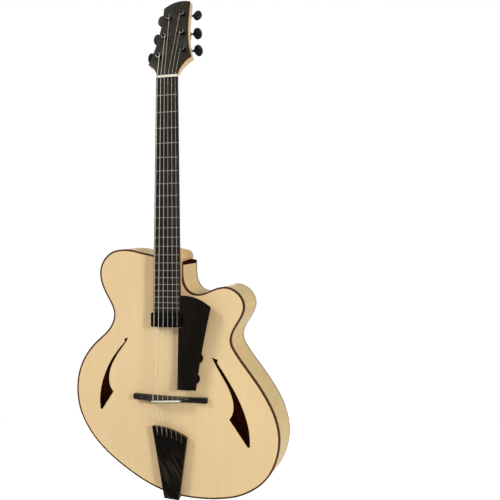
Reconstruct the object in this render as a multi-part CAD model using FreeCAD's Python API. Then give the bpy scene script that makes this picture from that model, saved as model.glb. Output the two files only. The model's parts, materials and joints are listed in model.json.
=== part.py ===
import FreeCAD, Part
import math
import os
from FreeCAD import Placement, Rotation, Vector

os.makedirs("parts", exist_ok=True)

# Archtop guitar, standing upright with its front towards -Y.
# Millimetres. X runs to the treble side, Y from front to back, Z up.
# The origin is where the nut's line meets the front plane of the rim.

# Scale and neck
scale_length = 635.0
joint_fret = 14
neck_angle = 3.5
head_tilt = 15.0
board_lift = 22.0          # board face in front of the rim at the joint fret
nut_width = 45.0
nut_length = 5.0
nut_height = 1.4           # above the board face
board_length = 465.0
board_end_width = 57.2
board_thickness = 6.5
board_radius = 400.0
fret_width = 1.7
fret_height = 1.1
fret_end_inset = 0.3
fret_end_room = 4.0        # least board left past the last fret
shaft_depth_nut = 14.0
shaft_depth_joint = 17.5
shaft_past_nut = 18.0
shaft_past_joint = 5.0
extension_half = 26.5
extension_short = 7.0      # the extension ends before the board does
extension_lap = 12.0
extension_depth = 9.0
rod_radius = 3.0
rod_slot = 6.4
rod_set = 4.2
rod_top_gap = 12.0
rod_low_gap = 4.0
rod_end_room = 0.5

# Heel: distance behind the rim plane, half width, reach above the body edge
heel_sections = [(-13.0, 25.5, 34.0), (10.0, 22.5, 27.5), (42.0, 18.0, 22.0), (84.0, 13.8, 16.5)]
heel_cap_thickness = 2.5
tenon_half = 12.0
tenon_reach = 34.0
tenon_front = 9.0
tenon_back = 74.0

# Body
rim_depth = 84.0
side_thickness = 2.5
binding_front = 6.0
binding_back = 4.5
top_edge = 5.0
back_edge = binding_back
top_arch = 20.0
back_arch = 16.0
plate_thickness = 5.5
arch_centre = (0.0, 280.0)
oval_half_width = 185.0
oval_half_length = 255.0
arch_steps = [1.0, 0.93, 0.82, 0.68, 0.5, 0.3, 0.08]
hollow_scale = 0.925
lining_width = 6.0
lining_depth = 13.0
neck_block_half = 45.0
neck_block_end = 48.0
tail_block_half = 38.0
tail_block_start = 461.0
strip_end = 20.5

# Body outline: (across, down from the joint fret's line), from the treble corner
# at the neck round the tail to the bass corner, which a straight edge joins.
rim_knots = [
    (24.0, 14.0), (24.3, 41.0), (27.5, 57.6), (38.2, 72.6), (55.5, 78.0), (79.0, 72.1), (102.7, 64.0),
    (116.4, 63.4), (131.6, 69.0), (146.3, 82.8), (152.3, 100.8), (143.0, 128.0), (125.0, 160.0),
    (123.7, 172.0), (132.3, 192.0), (165.0, 237.0), (195.5, 283.0), (214.5, 328.6), (218.5, 356.0),
    (211.3, 402.0), (189.0, 442.0), (164.6, 462.6), (128.5, 479.6), (96.8, 486.1), (46.0, 489.3),
    (-30.0, 478.6), (-108.5, 440.0), (-176.5, 384.0), (-210.3, 328.0), (-218.0, 280.0), (-206.3, 226.0),
    (-170.3, 178.0), (-138.3, 148.0), (-128.3, 120.0), (-140.3, 88.0), (-155.3, 55.0), (-156.8, 28.0),
    (-150.9, 13.0), (-141.3, 1.2), (-129.6, -7.0), (-115.0, -11.3), (-100.5, -12.1), (-86.0, -10.8),
    (-72.0, -7.6)]

# Sound holes: upper nib, outer edge, round foot, lower nib, inner edge and upper tip
hole_bass = {
    "nib": (-104.2, 170.8), "foot": (-161.2, 318), "foot_end": (-157.3, 316.2), "tip": (-95, 166.5),
    "outer": [(-102.5, 176), (-137, 218), (-156.5, 260.5), (-163.5, 296), (-163, 313)],
    "inner": [(-130, 279), (-139.5, 261.5), (-140, 249.5), (-127, 213), (-97.3, 173.5)]}
hole_treble = {
    "nib": (98, 206.5), "foot": (156.8, 378), "foot_end": (153, 376), "tip": (85, 201.5),
    "outer": [(96.2, 212), (131.3, 270), (151, 316), (158.8, 357), (158.6, 373.5)],
    "inner": [(118.8, 323.5), (127.2, 306.5), (127.6, 294), (116.4, 258), (89.5, 209)]}

# Tone bars under the top
bar_offset = 40.0
bar_width = 9.0
bar_spread = 6.0

# Headstock, in its own plane: across, up from behind the nut
head_origin = Vector(0, 2.0, nut_length)
headplate_thickness = 3.0
head_thickness = 13.0
head_foot = -16.0
head_step = 0.6
head_back = headplate_thickness + head_thickness
head_left_low = [(-22.3, 1.0), (-26.0, 10.0), (-42.8, 25.6)]
head_left = [(-42.8, 25.6), (-30.5, 68.6), (-23.6, 117.6), (-23.0, 152.3)]
head_top = [(-23.0, 152.3), (5.0, 165.6), (33.0, 163.7)]
head_right = [(33.0, 163.7), (33.2, 122.6), (39.3, 66.5), (47.9, 38.0)]
head_right_low = [(47.9, 38.0), (30.7, 21.6), (22.3, 1.0)]

# Tuners, in string order from the lowest string; side is -1 for the bass edge
tuner_posts = [(-22.0, 43.0, -1), (-14.5, 86.0, -1), (-9.6, 129.0, -1),
               (19.8, 135.0, 1), (24.2, 92.5, 1), (29.6, 53.5, 1)]
post_radius = 3.0
post_reach = 11.0
post_hole = 0.8
post_hole_drop = 4.2       # hole below the start of the winding
post_tip = 0.6
running_gap = 0.05
bushing_radius = 4.6
bushing_head = 5.8
bushing_height = 2.5
gear_teeth = 16
gear_tip = 6.0
gear_root = 4.8
gear_thickness = 3.0
gear_room = 0.4
worm_core = 1.7
worm_offset = 8.0
worm_depth = 4.8           # worm axis behind the headstock's back
worm_half = 5.0
pivot_radius = 1.3
pivot_length = 2.0
key_radius = 2.0
housing_low = 9.5
housing_high = 8.5
housing_span = 11.5
housing_depth = 10.0
housing_chamfer = 2.0
ring_outer = 6.0
ring_inner = 3.0
ring_depth = 1.0
ring_proud = 0.4
button_centre = 24.0
button_half_length = 8.6
button_half_height = 11.5
button_turns = [25.0, 15.0, 5.0, -10.0, 35.0, 50.0]     # how each is left turned about its key
button_thickness = 7.6
button_chamfer = 1.8
collar_start = 14.5
collar_radius = 3.3

# Bridge and saddle
compensation = 3.0
saddle_lift = 5.5          # string height over the board plane at the saddle
bridge_half = 78.0
bridge_thickness = 11.0
bridge_top_thickness = 6.0
bridge_wing_tip = 26.0     # height of the wing ends over the rim plane
bridge_wing_root = 31.0
bridge_wing_mid = (56.0, 27.5)
bridge_block_half = 31.5
bridge_foot_half = 36.0
bone_half = 31.0
bone_thickness = 3.0
bone_set = 4.0
bone_proud = 1.8

# Strings: diameters from the lowest
string_sizes = [1.3, 1.05, 0.8, 0.6, 0.43, 0.33]
nut_span = 38.0
saddle_span = 52.5
tail_span = 50.0
string_bend = 4.0
wrap_turns = 2
wrap_gap = 0.5
wrap_clear = 0.3
wrap_height = 7.5          # start of the winding above the headplate

# Tailpiece, in its own plane: across, up from its reference line
tail_gap = 58.6            # from the saddle's line to the tailpiece's reference line
tail_top_lift = 31.0
tail_low_down = 490.0
tail_low_lift = 14.0
tail_thickness = 6.5
tail_left = -35.5
tail_right = 37.0
tail_left_up = 3.0
tail_mid = (5.0, -3.0)
tail_right_up = -18.1
tail_low_left_across = -20.5
tail_low_right_across = 11.0
tail_low_skew = 2.0
slot_width = 2.2
slot_depth = 3.0
slot_length = 15.0
ball_radius = 1.9
ball_hole = 2.3
ball_height = 3.4

# End jack, tail wire and tail rest
jack_across = -3.5
jack_depth = 42.0
jack_barrel = 5.5
jack_bore = 3.25
jack_flange = 9.5
jack_waist = 6.0
jack_head = 8.5
jack_inside = 30.0
jack_flange_out = 3.0
jack_waist_out = 11.0
jack_out = 15.0
jack_wall = 2.0
wire_from_head = 2.0
wire_radius = 1.2
wire_clear = 0.3
wire_bend = 4.0
wire_set = 14.0
rest_half = 14.0
rest_start = 470.0
rest_end = 481.0

# Pickup and pickguard, in the board's plane
pickup_length = 67.0
pickup_width = 28.4
pickup_face = 1.0          # below the board plane
pickup_depth = 10.0
pickup_corner = 3.0
bracket_thickness = 1.2
bracket_half = 20.0
pole_offset = 8.2
pole_radius = 2.3
pole_length = 6.0
pole_proud = 0.6
guard_face = 2.0
guard_thickness = 3.0
guard_clear = 0.8
guard_to_bridge = 20.6     # from the saddle's line up to the guard's lower end
guard_upper_up = 32.7      # its upper corners above the board's end
guard_upper_mid_at = (62.8, 27.3)
guard_corner_at = (91.5, 10.2)
guard_edge_hollow = 2.1     # of its outer edge
guard_low_across = 60.4
guard_low_inner = 21.0
guard_inner = 24.5
side_block_up = (11.3, 25.3)       # above the board's end
side_block_back = 14.0
foot_block_across = (25.0, 37.0)
foot_block_share = (0.09, 0.303)   # of the guard between pickup and lower end
wheel_radius = 11.0
wheel_thickness = 3.2
wheel_gap = 0.4
wheel_places_up = [(63.0, 63.0), (56.5, 23.0)]     # across, above the guard's lower end
pot_radius = 6.0
pot_height = 3.2
wheel_shaft = 1.5
control_plate_thickness = 1.2
plate_inner = 38.5
plate_lip = 3.0
plate_past_wheel = 3.0
plate_margin = 8.0
block_gap = 1.0
lead_radius = 1.1
lead_bend = 6.0
lead_across = 30.0
lead_hole_across = 50.0
lead_run = 45.2            # from the pickup's lower edge to the hole
lead_clear = 0.6
lead_lift = 19.0
lead_drop = 12.0

# Derived frames
tilt = math.radians(neck_angle)
joint_length = scale_length * (1 - 2 ** (-joint_fret / 12.0))
joint_z = -(joint_length * math.cos(tilt) + board_lift * math.sin(tilt))
nut_y = -board_lift * math.cos(tilt) + joint_length * math.sin(tilt)
x_axis = Vector(1, 0, 0)
y_axis = Vector(0, 1, 0)
z_axis = Vector(0, 0, 1)
neck_place = Placement(Vector(0, nut_y, 0), Rotation(x_axis, -neck_angle))
head_place = neck_place.multiply(Placement(head_origin, Rotation(x_axis, -head_tilt)))


def body_down(along):
    return joint_z - neck_place.multVec(Vector(0, 0, along)).z


saddle_down = scale_length + compensation
saddle = neck_place.multVec(Vector(0, -saddle_lift, -saddle_down))
saddle_body_down = joint_z - saddle.z
board_end = -board_length
pickup_top = board_end - bracket_thickness
pickup_low = pickup_top - pickup_width
lead_hole_down = body_down(pickup_low) + lead_run
tail_top_down = saddle_body_down + tail_gap
tail_low_up = tail_top_down - tail_low_down
tail_slope = math.atan2(tail_top_lift - tail_low_lift, tail_low_down - tail_top_down)
tail_origin = Vector(0, -tail_top_lift, joint_z - tail_top_down)
tail_place = Placement(tail_origin, Rotation(x_axis, math.degrees(tail_slope)))


def world(across, down, depth=0.0):
    return Vector(across, depth, joint_z - down)


def placed(shape, place):
    moved = shape.copy()
    moved.Placement = place.multiply(moved.Placement)
    return moved


def box(x0, x1, y0, y1, z0, z1):
    return Part.makeBox(x1 - x0, y1 - y0, z1 - z0, Vector(x0, y0, z0))


def body_box(x0, x1, down0, down1, y0, y1):
    return box(x0, x1, y0, y1, joint_z - down1, joint_z - down0)


def rod(radius, start, end):
    return Part.makeCylinder(radius, (end - start).Length, start, end - start)


def line(a, b):
    return Part.LineSegment(a, b).toShape()


def arc(a, b, c):
    return Part.Arc(a, b, c).toShape()


def curve(points):
    result = Part.BSplineCurve()
    result.interpolate(Points=points)
    return result


def prism(edges, reach):
    return Part.Face(Part.Wire(edges)).extrude(reach)


def group(solids):
    return Part.makeCompound(solids)


def save(name, shape):
    solids = len(shape.Solids)
    print(name, "solids", solids, "valid", shape.isValid(), "volume", round(shape.Volume, 1))
    shape.exportStep("parts/" + name + ".step")


# Body outline and its insets
rim_points = [world(across, down) for across, down in rim_knots]
rim = curve(rim_points)


def inward(along):
    return Vector(along.z, 0, -along.x).normalize()


def inset_points(inset):
    moved = []
    for point in rim_points:
        along = rim.tangent(rim.parameter(point))[0]
        moved.append(point + inward(along) * inset)
    side = inward(rim.tangent(rim.FirstParameter)[0])
    edge = inward(rim_points[0] - rim_points[-1])
    moved[0] = rim_points[0] + (side + edge) * (inset / (1 + side.dot(edge)))
    return moved


def outline(inset, depth):
    points = [point + y_axis * depth for point in inset_points(inset)]
    return Part.Wire([curve(points).toShape(), line(points[-1], points[0])])


def body_prism(inset, front, back):
    return Part.Face(outline(inset, front)).extrude(y_axis * (back - front))


def body_ring(outer, inner, front, back):
    face = Part.Face(outline(outer, front)).cut(Part.Face(outline(inner, front)))
    return face.extrude(y_axis * (back - front))


# Carved plates: outlines shrink towards an oval while they rise
plate_points = inset_points(side_thickness)
plate_centre = world(*arch_centre)


def shrunk(point, scale):
    share = min(1.0, (1.0 - scale) / 0.6)
    share = share * share * (3 - 2 * share)
    offset = point - plate_centre
    bearing = math.atan2(offset.z, offset.x)
    reach = 1 / math.hypot(math.cos(bearing) / oval_half_width, math.sin(bearing) / oval_half_length)
    oval = Vector(math.cos(bearing), 0, math.sin(bearing)) * reach
    return plate_centre + (offset * (1 - share) + oval * share) * scale


def arch_section(scale, depth):
    points = [shrunk(point, scale) + y_axis * depth for point in plate_points]
    middle = shrunk((plate_points[0] + plate_points[-1]) * 0.5, scale) + y_axis * depth
    return Part.Wire([curve(points).toShape(), curve([points[-1], middle, points[0]]).toShape()])


def rise(scale, height):
    return height * math.sin(math.pi / 2 * (1 - scale) / 0.92) ** 1.6


def dome(face, outward, height):
    sections = [arch_section(scale, face + outward * rise(scale, height)) for scale in arch_steps]
    return Part.makeLoft(sections, True, False)


def hollow(face, outward, height, edge):
    sections = [arch_section(hollow_scale, face - outward * edge)]
    for scale in arch_steps[2:]:
        sections.append(arch_section(scale, face + outward * (rise(scale, height) - plate_thickness)))
    return Part.makeLoft(sections, True, False)


def sound_hole(edges):
    outer = [world(*point) - y_axis * 40 for point in edges["outer"]]
    inner = [world(*point) - y_axis * 40 for point in edges["inner"]]
    corners = [world(*edges[name]) - y_axis * 40 for name in ("nib", "tip", "foot", "foot_end")]
    nib, tip, foot, foot_end = corners
    loop = [line(nib, outer[0]), curve(outer).toShape(), arc(outer[-1], foot, foot_end)]
    loop += [line(foot_end, inner[0]), curve(inner).toShape(), line(inner[-1], tip), line(tip, nib)]
    return prism(loop, y_axis * 60)


top_dome = dome(0.0, -1, top_arch)
top_slab = body_prism(side_thickness, 0.0, top_edge)
top_hollow = hollow(0.0, -1, top_arch, top_edge)
lead_hole = rod(lead_radius + lead_clear, world(lead_hole_across, lead_hole_down, -40),
                world(lead_hole_across, lead_hole_down, 30))
top_plate = top_dome.fuse(top_slab).cut(top_hollow)
top_plate = top_plate.cut(sound_hole(hole_bass)).cut(sound_hole(hole_treble)).cut(lead_hole)
back_dome = dome(rim_depth, 1, back_arch)
back_slab = body_prism(side_thickness, rim_depth - back_edge, rim_depth)
back_plate = back_dome.fuse(back_slab).cut(hollow(rim_depth, 1, back_arch, back_edge))
save("top_plate", top_plate)
save("back_plate", back_plate)

# Bindings, sides and linings
inner_front = top_edge
inner_back = rim_depth - back_edge
tenon_line = rim_knots[0][1] - (rim_knots[0][1] - rim_knots[-1][1]) * rim_knots[0][0] / (
    rim_knots[0][0] - rim_knots[-1][0])
edge_slope = (rim_knots[0][1] - rim_knots[-1][1]) / (rim_knots[0][0] - rim_knots[-1][0])
tenon = body_box(-tenon_half, tenon_half, 0, tenon_reach, tenon_front, tenon_back)
tenon = tenon.common(body_prism(0, 0, rim_depth))
save("top_binding", body_ring(0, side_thickness, 0, binding_front))
save("back_binding", body_ring(0, side_thickness, rim_depth - binding_back, rim_depth))
rim_wall = body_ring(0, side_thickness, binding_front, rim_depth - binding_back)
jack_start = world(jack_across, 440, jack_depth)
jack_end = world(jack_across, 510, jack_depth)
jack_hole = rod(jack_barrel, jack_start, jack_end)
strip_zone = body_box(tenon_half, 60, -30, strip_end, 0, rim_depth)
tenon_zone = body_box(-tenon_half, tenon_half, -30, 60, 0, rim_depth)
bass_zone = body_box(-400, jack_across, -50, 600, 0, rim_depth)
side_treble = rim_wall.cut(bass_zone).cut(tenon_zone).cut(strip_zone).cut(jack_hole)
save("side_bass", rim_wall.common(bass_zone).cut(tenon_zone).cut(jack_hole))
save("side_treble", side_treble)
save("neck_corner_strip", rim_wall.common(strip_zone))
neck_zone = body_box(-neck_block_half, neck_block_half, -40, neck_block_end, inner_front, inner_back)
tail_zone = body_box(-tail_block_half, tail_block_half, tail_block_start, 520, inner_front, inner_back)
blocks = neck_zone.fuse(tail_zone)
lining_outer = side_thickness
lining_inner = side_thickness + lining_width
save("top_lining", body_ring(lining_outer, lining_inner, inner_front, inner_front + lining_depth).cut(blocks))
save("back_lining", body_ring(lining_outer, lining_inner, inner_back - lining_depth, inner_back).cut(blocks))
inner_body = body_prism(side_thickness, inner_front, inner_back)
save("neck_block", inner_body.common(neck_zone).cut(tenon))
save("tail_block", inner_body.common(tail_zone).cut(jack_hole))

# Tone bars follow the hollow of the top and run out at both ends
bars = []
for side in (-1, 1):
    upper = side * (bar_offset - bar_spread)
    lower = side * (bar_offset + bar_spread)
    corners = [world(upper - bar_width / 2, 90, -30), world(upper + bar_width / 2, 90, -30),
               world(lower + bar_width / 2, 440, -30), world(lower - bar_width / 2, 440, -30)]
    stick = prism([line(corners[i], corners[(i + 1) % 4]) for i in range(4)], y_axis * 29)
    bars.append(stick.common(top_hollow).Solids[0])
save("tone_bars", group(bars))


# Neck: shaft, extension over the top, heel, tenon and headstock in one piece
def board_half(down):
    return (nut_width + (board_end_width - nut_width) * down / board_length) / 2


def shaft_section(up, depth):
    half = board_half(-up)
    left = Vector(-half, board_thickness, up)
    right = Vector(half, board_thickness, up)
    return Part.Wire([line(left, right), arc(right, Vector(0, board_thickness + depth, up), left)])


def edge_down(across):
    return tenon_line + edge_slope * across


def heel_section(depth, half, reach):
    left = world(-half, edge_down(-half), depth)
    right = world(half, edge_down(half), depth)
    return Part.Wire([line(left, right), arc(right, world(0, tenon_line - reach, depth), left)])


def flat_points(points):
    return [Vector(across, 0, up) for across, up in points]


def head_outline(low):
    left_low = flat_points(head_left_low)
    right_low = flat_points(head_right_low)
    foot_left = Vector(left_low[0].x, 0, low)
    foot_right = Vector(right_low[-1].x, 0, low)
    edges = [curve(left_low).toShape(), curve(flat_points(head_left)).toShape()]
    edges += [arc(*flat_points(head_top)), curve(flat_points(head_right)).toShape()]
    edges.append(curve(right_low).toShape())
    if low < left_low[0].z:
        edges += [line(right_low[-1], foot_right), line(foot_left, left_low[0])]
    edges.append(line(foot_right, foot_left))
    return Part.Wire(Part.__sortEdges__(edges))


shaft = Part.makeLoft([shaft_section(shaft_past_nut, shaft_depth_nut),
                       shaft_section(-joint_length - shaft_past_joint, shaft_depth_joint)], True, True)
extension = box(-extension_half, extension_half, board_thickness, board_thickness + extension_depth,
                board_end + extension_short, -joint_length + extension_lap)
heel = Part.makeLoft([heel_section(*section) for section in heel_sections], True, False)
head = Part.Face(head_outline(head_foot)).extrude(y_axis * head_thickness)
head.translate(y_axis * headplate_thickness)
for across, up, side in tuner_posts:
    axis = Vector(across, 0, up)
    head = head.cut(rod(bushing_radius, axis - y_axis, axis + y_axis * (head_back + 1)))
neck = placed(shaft, neck_place).fuse([placed(extension, neck_place), heel, tenon, placed(head, head_place)])
seat = placed(box(-60, 60, -60, board_thickness, board_end - 40, nut_length), neck_place)
face_room = placed(box(-80, 80, -80, headplate_thickness, head_step, 200), head_place)
rod_depth = board_thickness + rod_set
rod_top = Vector(0, rod_depth, -rod_top_gap)
rod_low = Vector(0, rod_depth, -joint_length + rod_low_gap)
rod_room = box(-rod_slot / 2, rod_slot / 2, 0, rod_depth + rod_slot / 2,
               rod_low.z - rod_end_room, rod_top.z + rod_end_room)
neck = neck.cut([seat, face_room, placed(rod_room, neck_place)])
save("neck", neck.removeSplitter())
save("truss_rod", placed(rod(rod_radius, rod_low, rod_top), neck_place))
cap_section = heel_section(*heel_sections[-1])
save("heel_cap", Part.Face(cap_section).extrude(y_axis * heel_cap_thickness))

# Board with a round face, frets seated on it, nut and headplate
end_half = board_half(board_length)
trapezium = [Vector(-board_half(0), -5, 0), Vector(board_half(0), -5, 0),
             Vector(end_half, -5, board_end), Vector(-end_half, -5, board_end)]
board_edges = [line(trapezium[i], trapezium[(i + 1) % 4]) for i in range(4)]
board_blank = prism(board_edges, y_axis * (board_thickness + 5))


def board_drum(radius):
    start = Vector(0, board_radius, 10)
    return Part.makeCylinder(radius, board_length + 20, start, z_axis * -1)


board_core = board_drum(board_radius)
save("fingerboard", placed(board_blank.common(board_core), neck_place))
crown = board_drum(board_radius + fret_height)
frets = []
fret_count = int(12 * math.log2(scale_length / (scale_length - board_length + fret_end_room)))
for number in range(1, fret_count + 1):
    down = scale_length * (1 - 2 ** (-number / 12.0))
    half = board_half(down) - fret_end_inset
    wire = box(-half, half, -fret_height - 1, 4, -down - fret_width / 2, -down + fret_width / 2)
    frets.append(wire.common(crown).cut(board_core).Solids[0])
save("frets", placed(group(frets), neck_place))
nut = box(-nut_width / 2, nut_width / 2, -nut_height, board_thickness, 0, nut_length)
slope = [Vector(-40, -nut_height, nut_length - 3), Vector(-40, -nut_height, nut_length),
         Vector(-40, 0.2, nut_length)]
nut = nut.cut(prism([line(slope[i], slope[(i + 1) % 3]) for i in range(3)], x_axis * 80))
save("nut", placed(nut, neck_place))
headplate = Part.Face(head_outline(head_left_low[0][1])).extrude(y_axis * headplate_thickness)
for across, up, side in tuner_posts:
    axis = Vector(across, 0, up)
    headplate = headplate.cut(rod(bushing_radius, axis - y_axis, axis + y_axis * 5))
save("headplate", placed(headplate, head_place))


# Tuners
def housing_blank():
    turn = math.asin((housing_low - housing_high) / housing_span)
    c = math.cos(turn)
    s = math.sin(turn)
    low_left = Vector(-housing_low * c, 0, housing_low * s)
    low_right = Vector(housing_low * c, 0, housing_low * s)
    high_right = Vector(housing_high * c, 0, housing_span + housing_high * s)
    high_left = Vector(-housing_high * c, 0, housing_span + housing_high * s)
    edges = [arc(low_left, Vector(0, 0, -housing_low), low_right), line(low_right, high_right)]
    edges.append(arc(high_right, Vector(0, 0, housing_span + housing_high), high_left))
    edges.append(line(high_left, low_left))
    block = prism(edges, y_axis * housing_depth)
    rim_edges = [edge for edge in block.Edges if abs(edge.BoundBox.YMin - housing_depth) < 0.001]
    return block.makeChamfer(housing_chamfer, rim_edges)


def gear():
    points = []
    for tooth in range(gear_teeth):
        for share, radius in ((0.0, gear_root), (0.3, gear_root), (0.45, gear_tip), (0.85, gear_tip)):
            bearing = 2 * math.pi * (tooth + share) / gear_teeth
            points.append(Vector(radius * math.cos(bearing), 0, radius * math.sin(bearing)))
    points.append(points[0])
    return Part.Face(Part.makePolygon(points)).extrude(y_axis * gear_thickness)


gear_front = worm_depth - gear_thickness / 2
gear_back = worm_depth + gear_thickness / 2
room_front = gear_front - gear_room
room_back = gear_back + gear_room
worm_centre = Vector(0, worm_depth, worm_offset)
ring_floor = housing_depth - ring_depth


def housing(side):
    out = x_axis * side
    block = housing_blank()
    gear_space = rod(gear_tip + gear_room, y_axis * room_front, y_axis * room_back)
    worm_space = rod(worm_core + 2 * gear_room, worm_centre - out * (worm_half + gear_room),
                     worm_centre + out * (worm_half + gear_room))
    front_bore = rod(post_radius + running_gap, y_axis * -1, y_axis * gear_front)
    back_bore = rod(pivot_radius + running_gap, y_axis * gear_back,
                    y_axis * (gear_back + pivot_length + gear_room))
    key_bore = rod(key_radius + running_gap, worm_centre, worm_centre + out * 20)
    end_bore = rod(pivot_radius + running_gap, worm_centre,
                   worm_centre - out * (worm_half + pivot_length + gear_room))
    ring_space = rod(ring_outer, y_axis * ring_floor, y_axis * 20)
    ring_space = ring_space.cut(rod(ring_inner, y_axis * 0, y_axis * 30))
    return block.cut([gear_space, worm_space, front_bore, back_bore, key_bore, end_bore, ring_space])


def tuner_key(side):
    out = x_axis * side
    core = rod(worm_core, worm_centre - out * worm_half, worm_centre + out * worm_half)
    end = rod(pivot_radius, worm_centre - out * (worm_half + pivot_length), worm_centre - out * worm_half)
    key = rod(key_radius, worm_centre + out * (worm_half - 0.5), worm_centre + out * (button_centre - 2))
    return core.fuse([end, key])


def button(side, turn):
    out = x_axis * side
    middle = worm_centre + out * button_centre
    front = middle - y_axis * (button_thickness / 2)
    oval = Part.Ellipse(front + z_axis * button_half_height, front + x_axis * button_half_length, front)
    disc = prism([oval.toShape()], y_axis * button_thickness)
    faces = [edge for edge in disc.Edges if edge.BoundBox.YLength < 0.001]
    disc = disc.makeChamfer(button_chamfer, faces)
    collar = rod(collar_radius, worm_centre + out * collar_start, worm_centre + out * (button_centre - 4))
    room = rod(key_radius, worm_centre, worm_centre + out * (button_centre - 2))
    disc.rotate(worm_centre, x_axis, turn)
    return disc.fuse(collar).cut(room)


def post():
    stem = rod(post_radius, y_axis * -(head_back + post_reach), y_axis * gear_front)
    tip_edges = [edge for edge in stem.Edges if edge.BoundBox.YMax < -head_back - post_reach + 0.01]
    stem = stem.makeChamfer(post_tip, tip_edges)
    wheel = gear()
    wheel.translate(y_axis * gear_front)
    end = rod(pivot_radius, y_axis * gear_back, y_axis * (gear_back + pivot_length))
    level = -(head_back + wrap_height - post_hole_drop)
    hole = rod(post_hole, Vector(-6, level, 0), Vector(6, level, 0))
    return stem.fuse([wheel, end]).cut(hole)


def bushing():
    sleeve = rod(bushing_radius, y_axis * 0, y_axis * head_back)
    points = [Vector(bushing_head * math.cos(math.pi * i / 3), 0, bushing_head * math.sin(math.pi * i / 3))
              for i in range(7)]
    nut_head = Part.Face(Part.makePolygon(points)).extrude(y_axis * -bushing_height)
    bore = rod(post_radius + running_gap, y_axis * -10, y_axis * 30)
    return sleeve.fuse(nut_head).cut(bore)


housings = []
rings = []
bushings = []
ring_shape = rod(ring_outer, y_axis * ring_floor, y_axis * (housing_depth + ring_proud))
ring_shape = ring_shape.cut(rod(ring_inner, y_axis * 0, y_axis * 30))
bushing_shape = bushing()
post_shape = post()
for number, (across, up, side) in enumerate(tuner_posts, 1):
    back = head_place.multiply(Placement(Vector(across, head_back, up), Rotation()))
    front = head_place.multiply(Placement(Vector(across, 0, up), Rotation()))
    housings.append(placed(housing(side), back))
    rings.append(placed(ring_shape, back))
    bushings.append(placed(bushing_shape, front))
    save("tuner_post_%d" % number, placed(post_shape, back))
    save("tuner_worm_%d" % number, placed(tuner_key(side), back))
    save("tuner_button_%d" % number, placed(button(side, button_turns[number - 1]), back))
save("tuner_housings", group(housings))
save("tuner_rings", group(rings))
save("tuner_bushings", group(bushings))

# Bridge fitted to the top, with a bone strip
crest = saddle.y
block_top = crest + bone_proud
half = bridge_thickness / 2
profile = [(-bridge_half, 0), (-bridge_half, -bridge_wing_tip), (-bridge_wing_mid[0], -bridge_wing_mid[1]),
           (-bridge_foot_half, -bridge_wing_root), (-bridge_block_half, block_top)]
profile += [(-across, depth) for across, depth in reversed(profile)]
flat = [Vector(across, depth, saddle.z - half) for across, depth in profile]
edges = [line(flat[0], flat[1]), arc(flat[1], flat[2], flat[3]), line(flat[3], flat[4])]
edges += [line(flat[4], flat[5]), line(flat[5], flat[6]), arc(flat[6], flat[7], flat[8])]
edges += [line(flat[8], flat[9]), line(flat[9], flat[0])]
bridge = prism(edges, z_axis * bridge_thickness)
for side in (-1, 1):
    wedge = [Vector(-60, -bridge_wing_root, saddle.z + side * half),
             Vector(-60, block_top - 1, saddle.z + side * bridge_top_thickness / 2),
             Vector(-60, block_top - 1, saddle.z + side * (half + 1)),
             Vector(-60, -bridge_wing_root, saddle.z + side * (half + 1))]
    bridge = bridge.cut(prism([line(wedge[i], wedge[(i + 1) % 4]) for i in range(4)], x_axis * 120))
bone_low = block_top + bone_set
bone_room = box(-bone_half, bone_half, block_top - 5, bone_low,
                saddle.z - bone_thickness / 2, saddle.z + bone_thickness / 2)
bridge = bridge.cut([top_dome, bone_room])
save("bridge", bridge)


def saddle_sag(across):
    return across * across / (2 * board_radius)


bone_side = crest + saddle_sag(bone_half)
bone_points = [Vector(-bone_half, bone_low, saddle.z), Vector(-bone_half, bone_side, saddle.z),
               Vector(0, crest, saddle.z), Vector(bone_half, bone_side, saddle.z),
               Vector(bone_half, bone_low, saddle.z)]
bone_edges = [line(bone_points[0], bone_points[1]), arc(*bone_points[1:4])]
bone_edges += [line(bone_points[3], bone_points[4]), line(bone_points[4], bone_points[0])]
bone = prism(bone_edges, z_axis * bone_thickness)
bone.translate(z_axis * (-bone_thickness / 2))
crest_edges = [edge for edge in bone.Edges if edge.BoundBox.YMax < crest + 2 and edge.BoundBox.XLength > 20]
bone = bone.makeFillet(1.2, crest_edges)
save("bone_saddle", bone)

# Tailpiece
top_arc = Part.Arc(Vector(tail_left, 0, tail_left_up), Vector(tail_mid[0], 0, tail_mid[1]),
                   Vector(tail_right, 0, tail_right_up))
low_right = Vector(tail_low_right_across, 0, tail_low_up - tail_low_skew)
low_left = Vector(tail_low_left_across, 0, tail_low_up)
tail_ring = [top_arc.toShape(), line(Vector(tail_right, 0, tail_right_up), low_right)]
tail_ring += [line(low_right, low_left), line(low_left, Vector(tail_left, 0, tail_left_up))]
tailpiece = prism(tail_ring, y_axis * tail_thickness)


def tail_edge_up(across):
    circle = top_arc.toShape().Curve
    return circle.Center.z + math.sqrt(circle.Radius ** 2 - (across - circle.Center.x) ** 2)


def spread(span, index):
    return span * (index / 5.0 - 0.5)


balls = []
ball_places = []
for index in range(6):
    across = spread(tail_span, index)
    end_up = tail_edge_up(across) - slot_length
    slot_half = slot_width / 2
    slot = box(across - slot_half, across + slot_half, -1, slot_depth, end_up, end_up + slot_length + 8)
    seat_hole = rod(ball_hole, Vector(across, -1, end_up), Vector(across, ball_height + 0.2, end_up))
    tailpiece = tailpiece.cut([slot, seat_hole])
    balls.append(rod(ball_radius, Vector(across, 0.2, end_up), Vector(across, ball_height, end_up)))
    ball_places.append(Vector(across, 0.2 + ball_height / 2 - 0.4, end_up + ball_radius))
wire_half = jack_waist + wire_radius + wire_clear
wire_ends = []
for side in (-1, 1):
    foot = tail_place.inverse().multVec(world(jack_across + side * wire_half, tail_low_down))
    wire_end = Vector(foot.x, tail_thickness / 2, tail_low_up + wire_set)
    tailpiece = tailpiece.cut(rod(wire_radius, wire_end - z_axis * 30, wire_end))
    wire_ends.append(tail_place.multVec(wire_end))
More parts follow.
